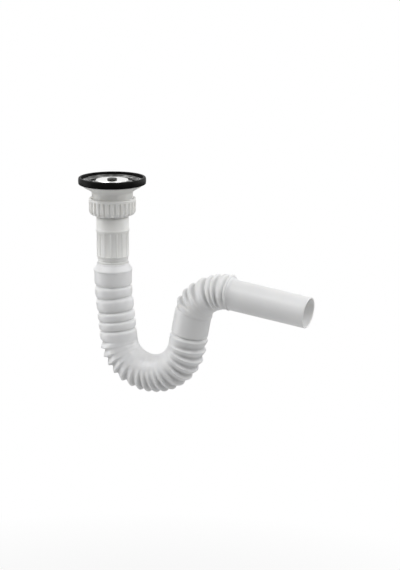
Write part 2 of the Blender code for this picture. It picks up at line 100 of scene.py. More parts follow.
def mesh_object(bm, name):
    """Make the finished mesh an object of the scene."""
    mesh = bpy.data.meshes.new(name)
    bm.to_mesh(mesh)
    bm.free()
    made = bpy.data.objects.new(name, mesh)
    bpy.context.scene.collection.objects.link(made)
    return made


def new_piece(bm, name, material, body, sharp):
    """Make an object that rides on a CAD body and stays sharp above an angle."""
    bmesh.ops.remove_doubles(bm, verts=bm.verts, dist=MERGE_DISTANCE)
    bmesh.ops.recalc_face_normals(bm, faces=bm.faces)
    piece = mesh_object(bm, name)
    piece.data.materials.append(material)
    piece.data.shade_smooth()
    piece.data.set_sharp_from_angle(angle=math.radians(sharp))
    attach(piece, body)
    print(name, len(piece.data.polygons), "faces")
    return piece


def spin_section(section, steps, closed=True):
    """Sweep (radius, height) points in millimetres about the waste's axis."""
    bm = bmesh.new()
    verts = [bm.verts.new((radius * MM, 0.0, height * MM)) for radius, height in section]
    edges = [bm.edges.new(pair) for pair in zip(verts, verts[1:])]
    if closed:
        edges.append(bm.edges.new((verts[-1], verts[0])))
    bmesh.ops.spin(
        bm,
        geom=verts + edges,
        cent=(0.0, 0.0, 0.0),
        axis=(0.0, 0.0, 1.0),
        angle=TAU,
        steps=steps,
        use_merge=True,
    )
    bmesh.ops.remove_doubles(bm, verts=bm.verts, dist=MERGE_DISTANCE)
    bmesh.ops.recalc_face_normals(bm, faces=bm.faces)
    return bm


def round_edges(bm, width, angle, segments=2):
    """Bevel every edge that is sharper than an angle."""
    sharp = [edge for edge in bm.edges if edge.calc_face_angle(0.0) > math.radians(angle)]
    bmesh.ops.bevel(
        bm,
        geom=sharp,
        offset=width * MM,
        segments=segments,
        profile=0.5,
        affect="EDGES",
        clamp_overlap=True,
        material=-1,
    )


def wave_curve(start, end, steps):
    """Points of a half cosine wave from one (radius, height) to another, without the first."""
    points = []
    for index in range(1, steps + 1):
        share = index / steps
        swing = (1.0 - math.cos(math.pi * share)) / 2
        radius = start[0] + (end[0] - start[0]) * swing
        points.append((radius, start[1] + (end[1] - start[1]) * share))
    return points


print("turned pieces are given in millimetres, and a metre holds", round(1.0 / MM))

# %% [markdown]
# Finishes shared by several materials
#
# Injection-moulded and blown plastic is never one flat colour: the skin has a very fine grain, the tint
# drifts a little over a few centimetres, and handling leaves faint marks that are duller than the rest.
# Each of these is a node group with its own inputs, so that every material can use it at its own strength.
# A few helpers keep the node code short: each of them takes a socket or a plain value for every input.

# %% Node helpers
MIX_FIRST = 6
MIX_SECOND = 7
MIX_RESULT = 2


def new_group(name, inputs, outputs):
    """An empty shader node group with the named sockets; each input is (name, type, default)."""
    group = bpy.data.node_groups.new(name, "ShaderNodeTree")
    for label, kind, default in inputs:
        socket = group.interface.new_socket(name=label, in_out="INPUT", socket_type=kind)
        socket.default_value = default
    for label, kind in outputs:
        group.interface.new_socket(name=label, in_out="OUTPUT", socket_type=kind)
    return group, group.nodes.new("NodeGroupInput"), group.nodes.new("NodeGroupOutput")


def set_inputs(tree, node, values):
    """Link or set a node's inputs."""
    for label, value in values.items():
        if isinstance(value, bpy.types.NodeSocket):
            tree.links.new(value, node.inputs[label])
        else:
            node.inputs[label].default_value = value


def add_node(tree, kind, values=None, **settings):
    """Add a node, set its properties, then link or set its inputs."""
    node = tree.nodes.new(kind)
    for label, value in settings.items():
        setattr(node, label, value)
    set_inputs(tree, node, values or {})
    return node


def maths(tree, operation, *values):
    """The result of a Math node."""
    return add_node(tree, "ShaderNodeMath", dict(enumerate(values)), operation=operation).outputs[0]


def remap(tree, value, low, high, to_low=0.0, to_high=1.0):
    """The result of a Map Range node."""
    return add_node(tree, "ShaderNodeMapRange", {
        "Value": value, "From Min": low, "From Max": high, "To Min": to_low, "To Max": to_high,
    }).outputs[0]


def mix_colours(tree, share, first, second):
    """The blend of two colours."""
    values = {"Factor": share, MIX_FIRST: first, MIX_SECOND: second}
    return add_node(tree, "ShaderNodeMix", values, data_type="RGBA").outputs[MIX_RESULT]


def object_place(tree):
    """The Object coordinates of a material."""
    return add_node(tree, "ShaderNodeTexCoord").outputs["Object"]


def axis_distance(tree):
    """How far a point is from the waste's axis, in metres."""
    upright_removed = {0: object_place(tree), 1: (1.0, 1.0, 0.0)}
    flat = add_node(tree, "ShaderNodeVectorMath", upright_removed, operation="MULTIPLY").outputs[0]
    return add_node(tree, "ShaderNodeVectorMath", {0: flat}, operation="LENGTH").outputs["Value"]


def place_group(tree, group, **values):
    """Put a shared group in a material, with its own values."""
    node = add_node(tree, "ShaderNodeGroup", node_tree=group)
    set_inputs(tree, node, {"Vector": object_place(tree), **values})
    return node.outputs


def new_material(name):
    """A material with its tree and its Principled shader."""
    material = bpy.data.materials.new(name)
    material.use_nodes = True
    return material, material.node_tree, material.node_tree.nodes["Principled BSDF"]


print("node helpers ready")

# %% Fine grain, cloudy tint and handling marks
NOISE_MIDDLE = 0.5


def make_grain_group():
    """Fine moulded grain: a height for a Bump node and a small change of roughness."""
    group, given, result = new_group(
        "fine_grain",
        [("Vector", "NodeSocketVector", (0.0, 0.0, 0.0)), ("Scale", "NodeSocketFloat", 900.0),
         ("Spread", "NodeSocketFloat", 0.06)],
        [("Height", "NodeSocketFloat"), ("Roughness Change", "NodeSocketFloat")],
    )
    fine = add_node(group, "ShaderNodeTexNoise", {
        "Vector": given.outputs["Vector"], "Scale": given.outputs["Scale"], "Detail": 4.0, "Roughness": 0.6,
    })
    centred = maths(group, "SUBTRACT", fine.outputs["Fac"], NOISE_MIDDLE)
    change = maths(group, "MULTIPLY", centred, given.outputs["Spread"])
    set_inputs(group, result, {"Height": fine.outputs["Fac"], "Roughness Change": change})
    return group


def make_tint_group():
    """Slow drift between two near colours, as pigment and wall thickness give."""
    group, given, result = new_group(
        "cloudy_tint",
        [("Vector", "NodeSocketVector", (0.0, 0.0, 0.0)), ("Scale", "NodeSocketFloat", 25.0),
         ("Light", "NodeSocketColor", (0.8, 0.8, 0.8, 1.0)),
         ("Deep", "NodeSocketColor", (0.7, 0.7, 0.7, 1.0))],
        [("Color", "NodeSocketColor")],
    )
    cloud = add_node(group, "ShaderNodeTexNoise", {
        "Vector": given.outputs["Vector"], "Scale": given.outputs["Scale"], "Detail": 3.0, "Roughness": 0.5,
    })
    share = remap(group, cloud.outputs["Fac"], low=0.32, high=0.68)
    blend = mix_colours(group, share, given.outputs["Light"], given.outputs["Deep"])
    set_inputs(group, result, {"Color": blend})
    return group


def make_marks_group():
    """Faint rubbed patches and short scratches, as a mask from 0 to 1."""
    group, given, result = new_group(
        "handling_marks",
        [("Vector", "NodeSocketVector", (0.0, 0.0, 0.0)), ("Scale", "NodeSocketFloat", 120.0)],
        [("Mask", "NodeSocketFloat")],
    )
    stretched = add_node(group, "ShaderNodeMapping", {
        "Vector": given.outputs["Vector"], "Rotation": (0.4, 0.7, 0.3), "Scale": (1.0, 1.0, 9.0),
    })
    lines = add_node(group, "ShaderNodeTexNoise", {
        "Vector": stretched.outputs[0], "Scale": given.outputs["Scale"], "Detail": 5.0, "Roughness": 0.7,
    })
    set_inputs(group, result, {"Mask": remap(group, lines.outputs["Fac"], low=0.60, high=0.74)})
    return group


fine_grain = make_grain_group()
cloudy_tint = make_tint_group()
handling_marks = make_marks_group()
print("groups:", [group.name for group in bpy.data.node_groups])

# %% [markdown]
# Moulded plastic
#
# The white pieces are polypropylene: pale, slightly warm, with a soft gloss. The hose is the same plastic
# blown thin, which leaves it a touch paler and cooler. One function builds both, from the shared groups, and
# the plain numbers go straight on the Principled BSDF. A little light goes through such thin walls, so both
# have some subsurface. The hose also has painted shade at the bottom of its notches: its mesh keeps how deep
# each vertex lies, and an Attribute node reads that to darken the colour there.

# %% Plastic materials
MARK_DULLNESS = 0.12
# Painted shade in the hose's notches: where it starts, how strong it is and its colour.
NOTCH_START = 0.25
NOTCH_SHARE = 0.30
NOTCH_SHADE = (0.12, 0.12, 0.115, 1.0)


def make_plastic(name, light, deep, roughness, grain_depth):
    """Pale moulded plastic with grain, drifting tint and duller handling marks."""
    material, tree, shader = new_material(name)
    grain = place_group(tree, fine_grain, Scale=1400.0, Spread=0.10)
    tint = place_group(tree, cloudy_tint, Scale=22.0, Light=(*light, 1.0), Deep=(*deep, 1.0))
    marks = place_group(tree, handling_marks, Scale=90.0)
    duller = maths(tree, "MULTIPLY_ADD", marks["Mask"], MARK_DULLNESS, roughness)
    bump = add_node(tree, "ShaderNodeBump", {
        "Height": grain["Height"], "Strength": 0.25, "Distance": grain_depth,
    })
    set_inputs(tree, shader, {
        "Base Color": tint["Color"],
        "Roughness": maths(tree, "ADD", duller, grain["Roughness Change"]),
        "Normal": bump.outputs[0],
        "IOR": 1.49,
        "Subsurface Weight": 0.25,
        "Subsurface Radius": (1.0, 0.95, 0.85),
        "Subsurface Scale": 0.003,
    })
    print("plastic", name)
    return material


def darken_notches(material):
    """Make the plastic a little darker where the mesh says that a notch is deep: painted shade."""
    tree = material.node_tree
    shader = tree.nodes["Principled BSDF"]
    pale = shader.inputs["Base Color"].links[0].from_socket
    # Painted shade: the colour is darkened where a notch is deep, where shade gathers.
    notch = add_node(tree, "ShaderNodeAttribute", attribute_name="fold_depth")
    notch_shade = remap(tree, notch.outputs["Fac"], low=NOTCH_START, high=1.0, to_high=NOTCH_SHARE)
    set_inputs(tree, shader, {"Base Color": mix_colours(tree, notch_shade, pale, NOTCH_SHADE)})
    print("notches of", material.name, "are darker by", NOTCH_SHARE)


white_plastic = make_plastic(
    "moulded_white", (0.86, 0.86, 0.84), (0.81, 0.805, 0.78), roughness=0.32, grain_depth=0.00004
)
hose_plastic = make_plastic(
    "blown_white", (0.89, 0.89, 0.89), (0.85, 0.85, 0.845), roughness=0.31, grain_depth=0.00005
)
darken_notches(hose_plastic)

# %% [markdown]
# Rubber, steel and brass
#
# The washer is new rubber, almost black, which mirrors hardly any of the white room. The seal is a little
# greyer and rougher. The strainer and its screw are steel that was polished round the axis, so their fine
# lines run in circles: distance from the axis drives a one-dimensional noise, which gives exactly such lines.

# %% Rubber
def make_rubber(name, colour, bloom, roughness):
    """Black rubber with a fine grain and a faint pale bloom."""
    material, tree, shader = new_material(name)
    grain = place_group(tree, fine_grain, Scale=1100.0, Spread=0.20)
    tint = place_group(tree, cloudy_tint, Scale=130.0, Light=(*colour, 1.0), Deep=(*bloom, 1.0))
    bump = add_node(tree, "ShaderNodeBump", {
        "Height": grain["Height"], "Strength": 0.35, "Distance": 0.00005,
    })
    set_inputs(tree, shader, {
        "Base Color": tint["Color"],
        "Roughness": maths(tree, "ADD", grain["Roughness Change"], roughness),
        "Normal": bump.outputs[0],
        "Specular IOR Level": 0.05,
    })
    print("rubber", name)
    return material


washer_rubber = make_rubber("washer_rubber", (0.002, 0.002, 0.002), (0.005, 0.005, 0.0045), roughness=0.40)
seal_rubber = make_rubber("seal_rubber", (0.020, 0.020, 0.020), (0.032, 0.032, 0.031), roughness=0.60)

# %% Turned metal
SMOOTH_LINE = 0.7
ROUGH_LINE = 1.4


def make_metal(name, light, deep, roughness, lines):
    """Metal polished round the axis: circular lines change its roughness and its height."""
    material, tree, shader = new_material(name)
    rings = add_node(tree, "ShaderNodeTexNoise", {
        "W": axis_distance(tree), "Scale": lines, "Detail": 4.0,
    }, noise_dimensions="1D").outputs["Fac"]
    tint = place_group(tree, cloudy_tint, Scale=90.0, Light=(*light, 1.0), Deep=(*deep, 1.0))
    rough = remap(
        tree, rings, low=0.3, high=0.7, to_low=roughness * SMOOTH_LINE, to_high=roughness * ROUGH_LINE
    )
    bump = add_node(tree, "ShaderNodeBump", {"Height": rings, "Strength": 0.15, "Distance": 0.00002})
    set_inputs(tree, shader, {
        "Base Color": tint["Color"],
        "Roughness": rough,
        "Normal": bump.outputs[0],
        "Metallic": 1.0,
    })
    print("metal", name)
    return material


screw_steel = make_metal("screw_steel", (0.07, 0.07, 0.065), (0.04, 0.04, 0.036), 0.34, lines=3200.0)
insert_brass = make_metal("insert_brass", (0.78, 0.60, 0.28), (0.68, 0.50, 0.22), 0.28, lines=2400.0)

# %% [markdown]
# The strainer's steel and its painted reflections
#
# The strainer's raised centre is bright steel. Its trough has a painted dark reflection of the black ring
# round it, in blotches, and the flat rim next to the rubber is painted darker still. The material is
# therefore a blend by distance from the axis, and inside the trough a coarse noise picks out a few paler
# blotches.

# %% Strainer steel
BRIGHT_REACH = 0.0166
TROUGH_REACH = 0.0176
RIM_START = 0.0265
RIM_END = 0.0285
# Painted reflection colours for the trough and the rim: the black washer that the steel mirrors.
TROUGH_DARK = (0.10, 0.10, 0.098, 1.0)
TROUGH_BLOTCH = (0.27, 0.27, 0.265, 1.0)
RIM_REFLECTION = (0.035, 0.035, 0.034, 1.0)


def make_strainer_steel():
    """Bright steel near the axis, a painted dark reflection with paler blotches in the trough, and a darker
    one at the rim.
    """
    material = make_metal("strainer_steel", (0.90, 0.90, 0.89), (0.82, 0.82, 0.81), 0.10, lines=2600.0)
    tree = material.node_tree
    shader = tree.nodes["Principled BSDF"]
    bright = shader.inputs["Base Color"].links[0].from_socket
    reach = axis_distance(tree)
    noise = add_node(tree, "ShaderNodeTexNoise", {
        "Vector": object_place(tree), "Scale": 110.0, "Detail": 2.0,
    })
    blotches = remap(tree, noise.outputs["Fac"], low=0.46, high=0.70)
    # Painted reflection: the trough is painted dark, with paler blotches, and the rim by the washer darker
    # still.
    dark = mix_colours(tree, blotches, TROUGH_DARK, TROUGH_BLOTCH)
    rim_reflection = mix_colours(tree, remap(tree, reach, RIM_START, RIM_END), dark, RIM_REFLECTION)
    blend = mix_colours(tree, remap(tree, reach, BRIGHT_REACH, TROUGH_REACH), bright, rim_reflection)
    set_inputs(tree, shader, {"Base Color": blend})
    return material


strainer_steel = make_strainer_steel()

# %% [markdown]
# Rubber washer
#
# A ring that the strainer lies in and the sink sits on. Squeezed rubber bulges, so its outer wall is a
# little rounder than a straight line, and its lips are rounded over.

# %% Make the washer
CUP_STEPS = 144
WASHER_SECTION = [
    (34.2, 0.0), (34.75, -0.25), (35.0, -0.8), (35.2, -2.4), (35.25, -3.6), (35.2, -4.8), (35.0, -6.3),
    (34.75, -6.85), (34.2, -7.1), (31.7, -7.1), (31.7, -5.3), (28.3, -5.3), (28.3, -3.1), (32.2, -3.1),
    (32.2, 0.0),
]
washer_mesh = spin_section(WASHER_SECTION, CUP_STEPS)
round_edges(washer_mesh, 0.35, angle=40.0, segments=3)
washer = new_piece(washer_mesh, "washer_ring", washer_rubber, "waste", sharp=60.0)
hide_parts("sink_washer")

# %% [markdown]
# Cutting and joining
#
# A Boolean modifier cuts one mesh with another, or joins them. Its result is applied at once, so the piece
# ends up with a plain mesh and the tool can go.

# %% Helpers for cutting and joining
def box_tool(name, size, centre):
    """A box in millimetres, to cut or join with."""
    bm = bmesh.new()
    place = Matrix.Translation(Vector(centre) * MM)
    bmesh.ops.create_cube(bm, size=1.0, matrix=place @ Matrix.Diagonal((*(Vector(size) * MM), 1.0)))
    return mesh_object(bm, name)


def cut_with(piece, tool, operation):
    """Apply a Boolean to a piece's mesh and take the tool away."""
    modifier = piece.modifiers.new(operation.lower(), "BOOLEAN")
    modifier.operation = operation
    modifier.solver = "EXACT"
    modifier.object = tool
    bpy.context.view_layer.update()
    graph = bpy.context.evaluated_depsgraph_get()
    cut = bpy.data.meshes.new_from_object(piece.evaluated_get(graph))
    piece.modifiers.remove(modifier)
    piece.data = cut
    bpy.data.objects.remove(tool)
    print(piece.name, operation.lower(), "gives", len(cut.polygons), "faces")


print("cutting helpers ready")

# %% [markdown]
# Strainer
#
# One disc of steel sheet: a flat rim, a trough with a ring of drain holes, and a raised centre for the
# screw. A press leaves soft bends, so the section steps down and up along short waves. The holes are cut by
# a ring of round punches.

# %% Make the strainer
SHEET = 0.8
PRESS_STEPS = 6
STRAINER_HOLES = 12
HOLE_RADIUS = 2.5
HOLE_RING = 22.5
HOLE_HEIGHT = -4.6
PUNCH_SIDES = 32
STRAINER_TOP = [(31.9, -2.25), (31.75, -2.03), (31.5, -2.0), (27.9, -2.0)]
STRAINER_TOP += wave_curve((27.9, -2.0), (25.7, -4.2), PRESS_STEPS)
STRAINER_TOP += [(18.9, -4.2)]
STRAINER_TOP += wave_curve((18.9, -4.2), (16.6, -2.6), PRESS_STEPS)
STRAINER_TOP += [(10.0, -2.6), (3.2, -2.6)]

under_side = [(radius, height - SHEET) for radius, height in reversed(STRAINER_TOP)]
strainer_mesh = spin_section(STRAINER_TOP + under_side, CUP_STEPS)
strainer = new_piece(strainer_mesh, "strainer_disc", strainer_steel, "waste", sharp=45.0)

punches = bmesh.new()
for index in range(STRAINER_HOLES):
    turn = Matrix.Rotation(TAU * index / STRAINER_HOLES, 4, "Z")
    bmesh.ops.create_cone(
        punches,
        cap_ends=True,
        segments=PUNCH_SIDES,
        radius1=HOLE_RADIUS * MM,
        radius2=HOLE_RADIUS * MM,
        depth=3.0 * SHEET * MM,
        matrix=turn @ Matrix.Translation((HOLE_RING * MM, 0.0, HOLE_HEIGHT * MM)),
    )
cut_with(strainer, mesh_object(punches, "strainer_punches"), "DIFFERENCE")
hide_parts("strainer")

# %% [markdown]
# Centre screw and insert
#
# A slotted pan-head screw. The head is spun from a domed section and the slot is cut across it. Its shank
# stays plain, because nothing shows it. The brass insert keeps its CAD shape for the same reason, and only
# takes its metal.

# %% Make the screw and its insert
SCREW_STEPS = 64
SLOT_SIZE = (14.0, 1.2, 1.8)
SLOT_HEIGHT = -0.66
SCREW_SECTION = [
    (0.0, -0.66), (1.8, -0.70), (3.4, -0.86), (4.6, -1.18), (5.2, -1.66), (5.2, -2.3), (2.9, -2.3),
    (2.9, -25.8), (1.5, -27.3), (0.0, -27.3),
]
screw_mesh = spin_section(SCREW_SECTION, SCREW_STEPS, closed=False)
round_edges(screw_mesh, 0.15, angle=45.0)
screw = new_piece(screw_mesh, "slotted_screw", screw_steel, "waste", sharp=40.0)
cut_with(screw, box_tool("slot_cutter", SLOT_SIZE, (0.0, 0.0, SLOT_HEIGHT)), "DIFFERENCE")
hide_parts("centre_screw")

insert_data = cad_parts["insert_nut"].data
insert_data.materials.clear()
insert_data.materials.append(insert_brass)
print("insert keeps its CAD shape")

# %% [markdown]
# Waste body
#
# The cup, its collar and its neck are one thin moulding. The bowl's wall follows a wave from the wide rim to
# the collar. Inside the neck, a hub on four spokes holds the brass insert, so a Boolean adds those. The neck
# ends in an outside thread, G1 1/4, which shows only when the nut has come down: a small ridge that drops by
# one pitch as it turns once.

# %% Make the waste body
BOWL_STEPS = 18
HUB_STEPS = 48
SPOKE_REACH = 12.2
SPOKE_LENGTH = 12.6
SPOKE_WIDTH = 2.0
SPOKE_DEPTH = 8.0
SPOKE_HEIGHT = -20.3
BODY_SECTION = [(28.0, -5.6), (31.1, -5.6), (31.4, -5.9), (31.4, -7.6)]
BODY_SECTION += wave_curve((31.4, -7.6), (21.4, -16.0), BOWL_STEPS)
BODY_SECTION += [(21.4, -22.2), (20.0, -22.2), (20.0, -29.9), (19.6, -30.3), (17.2, -30.3), (17.2, -17.0)]
BODY_SECTION += wave_curve((17.2, -17.0), (28.0, -7.6), BOWL_STEPS)
HUB_SECTION = [(4.7, -14.8), (6.5, -14.8), (6.5, -26.0), (3.2, -26.0), (3.2, -24.4), (4.7, -24.4)]

body_mesh = spin_section(BODY_SECTION, CUP_STEPS)
round_edges(body_mesh, 0.25, angle=50.0)
waste_cup = new_piece(body_mesh, "waste_cup", white_plastic, "waste", sharp=35.0)
cut_with(waste_cup, mesh_object(spin_section(HUB_SECTION, HUB_STEPS), "hub_tool"), "UNION")
for side_x, side_y in ((1, 0), (-1, 0), (0, 1), (0, -1)):
    centre = (SPOKE_REACH * side_x, SPOKE_REACH * side_y, SPOKE_HEIGHT)
    along_x = (SPOKE_LENGTH, SPOKE_WIDTH, SPOKE_DEPTH)
    along_y = (SPOKE_WIDTH, SPOKE_LENGTH, SPOKE_DEPTH)
    cut_with(waste_cup, box_tool("spoke_tool", along_x if side_x else along_y, centre), "UNION")
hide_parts("waste_body")

# %% Make the neck's thread
PITCH = 2.309
THREAD_TOP = -23.6
THREAD_BOTTOM = -29.6
THREAD_SECTION = [(19.85, 1.0), (20.95, 0.24), (20.95, -0.24), (19.85, -1.0)]
STEPS_PER_TURN = 72

thread_mesh = bmesh.new()
thread_verts = []
for radius, lift in THREAD_SECTION:
    thread_verts.append(thread_mesh.verts.new((radius * MM, 0.0, (THREAD_TOP + lift) * MM)))
next_verts = thread_verts[1:] + thread_verts[:1]
thread_edges = [thread_mesh.edges.new(pair) for pair in zip(thread_verts, next_verts)]
turns = (THREAD_TOP - THREAD_BOTTOM) / PITCH
thread_steps = round(STEPS_PER_TURN * turns)
bmesh.ops.spin(
    thread_mesh,
    geom=thread_verts + thread_edges,
    cent=(0.0, 0.0, 0.0),
    axis=(0.0, 0.0, 1.0),
    dvec=(0.0, 0.0, -PITCH * turns / thread_steps * MM),
    angle=-TAU * turns,
    steps=thread_steps,
    use_merge=False,
)
bmesh.ops.holes_fill(thread_mesh, edges=[edge for edge in thread_mesh.edges if edge.is_boundary], sides=4)
new_piece(thread_mesh, "neck_thread", white_plastic, "waste", sharp=40.0)

# %% [markdown]
# Flat seal and union nut
#
# The seal is a plain ring. The nut is a ring with a lip below and a bore that clears the neck's thread. Its
# grip is 28 shallow grooves that stop short of the smooth top band, so each vertex of the outer wall moves in
# by a depth that depends on its angle and its height. The tailpiece's ribs are made by the same helper.

# %% Make the seal
SEAL_STEPS = 112
seal_mesh = spin_section([(20.5, -30.6), (20.5, -32.6), (17.2, -32.6), (17.2, -30.6)], SEAL_STEPS)
round_edges(seal_mesh, 0.25, angle=32.0)
flat_seal = new_piece(seal_mesh, "flat_seal", seal_rubber, "seal", sharp=50.0)
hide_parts("tail_washer")

# %% Helpers for grooves round a wall
GROOVE_STEEPNESS = 1.6


def smooth_step(value):
    """An S-shaped rise from 0 at 0 to 1 at 1, and flat beyond."""
    value = max(0.0, min(1.0, value))
    return value * value * (3.0 - 2.0 * value)


def groove_at(angle, count, share):
    """0 on the land and 1 at the middle of a groove."""
    phase = (angle / TAU * count) % 1.0
    distance = abs(phase - 0.5) * 2.0
    return smooth_step((share - distance) / share * GROOVE_STEEPNESS)


def carve(bm, least_radius, depth_at):
    """Move the wall beyond a radius towards the axis, by a depth for each angle and height."""
    for vert in bm.verts:
        flat = Vector((vert.co.x, vert.co.y, 0.0))
        if flat.length > least_radius * MM:
            depth = depth_at(math.atan2(vert.co.y, vert.co.x), vert.co.z / MM)
            flat *= 1.0 - depth * MM / flat.length
            vert.co = (flat.x, flat.y, vert.co.z)


print("groove helpers ready")

# %% Make the union nut
NUT_GROOVES = 28
STEPS_PER_GROOVE = 12
GROOVE_DEPTH = 1.15
GROOVE_SHARE = 0.50
NUT_RADIUS = 24.45
NUT_TOP = -21.7
NUT_BOTTOM = -38.8
BAND = 2.6
GRIP_RADIUS = 22.05
TOP_FADE = 1.0
BOTTOM_FADE = 1.2
NUT_SECTION = [
    (21.35, NUT_TOP - 0.8), (22.0, NUT_TOP), (23.5, NUT_TOP), (24.15, NUT_TOP - 0.3),
    (NUT_RADIUS, NUT_TOP - 1.0), (NUT_RADIUS, NUT_TOP - BAND + 0.4), (NUT_RADIUS, NUT_TOP - BAND),
    (NUT_RADIUS, NUT_TOP - BAND - 0.5), (NUT_RADIUS, NUT_TOP - BAND - 1.0), (NUT_RADIUS, -30.0),
    (24.4, -34.4), (24.2, -35.6), (23.7, -36.7), (23.0, -37.7), (22.3, -38.4), (21.7, NUT_BOTTOM),
    (18.0, NUT_BOTTOM), (18.0, -35.6), (21.35, -35.6),
]


def nut_depth(angle, height):
    """How deep the nut's grip is cut at an angle and a height."""
    fade_top = smooth_step((NUT_TOP - BAND - height) / TOP_FADE)
    fade_bottom = smooth_step((height - NUT_BOTTOM) / BOTTOM_FADE)
    return GROOVE_DEPTH * groove_at(angle, NUT_GROOVES, GROOVE_SHARE) * fade_top * fade_bottom


nut_mesh = spin_section(NUT_SECTION, NUT_GROOVES * STEPS_PER_GROOVE)
carve(nut_mesh, GRIP_RADIUS, nut_depth)
union_nut = new_piece(nut_mesh, "ribbed_nut", white_plastic, "nut", sharp=38.0)
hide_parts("union_nut")

# %% [markdown]
# Tailpiece
#
# A straight tube with a flange that the nut pulls up, a bead, sixteen fine ribs, and a chamfer above the
# spigot. The ribs are narrow and pale against the tube, so they are made as lands between wide hollows. Just
# under the nut the tube is thinner, which leaves the dark gap that the photograph shows there, and a shallow
# groove runs round it above the hose's collar.

# %% Make the tailpiece
TAIL_RIBS = 16
STEPS_PER_RIB = 16
TAIL_TURNED = math.radians(-4.0)
RIB_RISE = 0.6
RIB_SHARE = 0.20
RIB_TOP = -57.1
RIB_BOTTOM = -82.1
RIB_FADE = 1.0
RIBBED_RADIUS = 16.5
TAIL_SECTION = [
    (14.3, -32.9), (20.2, -32.9), (20.5, -33.2), (20.5, -35.0), (20.2, -35.3), (16.6, -35.3), (15.5, -37.6),
    (15.5, -40.9), (16.8, -42.1), (17.0, -43.0), (17.0, -53.4), (17.15, -53.8), (17.45, -54.3), (17.5, -55.1),
    (17.45, -55.9), (17.15, -56.5), (17.0, -56.9), (17.0, RIB_TOP), (17.0, RIB_TOP - 0.5),
    (17.0, RIB_TOP - 1.0), (17.0, -69.0), (17.0, RIB_BOTTOM + 1.0), (17.0, RIB_BOTTOM + 0.5),
    (17.0, RIB_BOTTOM), (16.9, -82.5), (16.0, -84.4), (15.9, -84.7), (15.9, -86.3), (15.3, -86.7),
    (15.3, -87.9), (15.9, -88.3), (15.9, -108.1), (18.0, -108.4), (15.9, -112.1), (14.3, -112.1),
]


def tail_depth(angle, height):
    """How far the tube's wall lies below its ribs at an angle and a height."""
    fade = smooth_step((RIB_TOP - height) / RIB_FADE) * smooth_step((height - RIB_BOTTOM) / RIB_FADE)
    on_rib = groove_at(angle - TAIL_TURNED + math.pi / TAIL_RIBS, TAIL_RIBS, RIB_SHARE)
    return RIB_RISE * (1.0 - on_rib) * fade


tail_mesh = spin_section(TAIL_SECTION, TAIL_RIBS * STEPS_PER_RIB)
carve(tail_mesh, RIBBED_RADIUS, tail_depth)
tail_tube = new_piece(tail_mesh, "tail_tube", white_plastic, "tail", sharp=38.0)
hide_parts("tailpiece")

# %% [markdown]
# The hose's centreline
#
# The hose is bent by hand, so its centreline is a chain of straight lengths and arcs. Each part of the chain
# is a length with no turn, or an arc's radius and its turn in degrees. One function walks along the chain and
# gives the place, the heading and the bend at any distance from the collar's mouth. It is the same chain that
# the CAD hose follows.

# %% Centreline
COLLAR_LENGTH = 23.3
ROUTE = [
    (COLLAR_LENGTH, 0.0),
    (45.0, 6.2),
    (54.8, 0.0),
    (34.8, 53.2),
    (41.8, 109.6),
    (34.8, 0.0),
    (25.0, -41.0),
    (49.0, -45.2),
    (82.7, 0.0),
]
MOUTH_HEIGHT = -90.1
LEAST_STEP = 1e-9


def part_length(size, degrees):
    """The length of a straight part, or of an arc."""
    return size * math.radians(abs(degrees)) if degrees else size


def route_at(distance):
    """Place (x, z), heading and bend (1/mm) at a distance along the hose, in millimetres."""
    x, z, heading, bend = 0.0, MOUTH_HEIGHT, -math.pi / 2, 0.0
    for size, degrees in ROUTE:
        length = part_length(size, degrees)
        step = min(distance, length)
        bend = math.radians(degrees) / length
        after = heading + bend * step
        if degrees:
            x += (math.sin(after) - math.sin(heading)) / bend
            z -= (math.cos(after) - math.cos(heading)) / bend
        else:
            x += math.cos(heading) * step
            z += math.sin(heading) * step
        heading = after
        distance -= step
        if distance <= LEAST_STEP:
            break
    return x, z, heading, bend


HOSE_END = sum(part_length(*part) for part in ROUTE)
hose_tip = [round(value, 1) for value in route_at(HOSE_END)[:2]]
print("hose is", round(HOSE_END, 1), "mm long and ends at", hose_tip)

# %% [markdown]
# Folds
#
# Each fold of the leg is a cone that opens downwards, a broad crest and a short undercut. In the bends the
# folds are tighter and more like saw teeth. No two folds of the real hose are alike, so each notch has its
# own place and its own depth. A ring of the hose is a distance, a crest radius and a share of the fold's
# depth, and a row of folds is the same few rings stretched from each notch to the next. The inner wall has
# the same folds with fewer rings.

# %% Rings of the hose
CREST = 19.6
TURN_CREST = 20.1
LEG_PHASES = [
    (0.00, 1.0), (0.04, 0.88), (0.10, 0.52), (0.17, 0.22), (0.24, 0.06), (0.31, 0.0), (0.44, 0.01),
    (0.58, 0.05), (0.70, 0.12), (0.79, 0.24), (0.87, 0.48), (0.93, 0.76), (0.97, 0.93),
]
BEND_PHASES = [
    (0.00, 1.0), (0.09, 0.86), (0.22, 0.56), (0.36, 0.26), (0.48, 0.05), (0.58, -0.14), (0.66, -0.22),
    (0.72, -0.02), (0.80, 0.50), (0.90, 0.90),
]
NOTCHES = [
    (24.1, 0.8), (36.9, 0.75), (51.7, 0.9), (61.6, 0.75), (71.4, 0.85), (83.0, 1.1), (89.7, 1.35),
    (96.4, 1.25), (103.1, 1.4), (109.8, 1.1), (117.9, 1.3), (126.0, 1.0), (132.4, 1.3), (138.8, 1.1),
    (145.2, 0.9), (151.6, 1.2), (158.0, 1.1), (165.8, 1.0), (173.6, 1.2), (181.4, 1.0), (189.2, 1.1),
    (197.0, 1.0), (208.9, 1.0), (233.9, 0.9), (240.2, 1.5), (245.6, 1.2), (251.6, 1.3), (262.6, 1.2),
    (268.3, 0.7), (272.6, 1.1), (281.0, 0.8), (284.0, 0.8),
]


def packed_edges(start, end, stretches):
    """Where each fold begins when each stretch has its own number of folds and pitch."""
    edges = [start]
    for folds, pitch in stretches:
        edges += [edges[-1] + pitch * (index + 1) for index in range(folds)]
    return edges + [end]


def notch_strength(place):
    """How deep the notch at a distance is, against an ordinary one."""
    return min(NOTCHES, key=lambda notch: abs(notch[0] - place))[1]


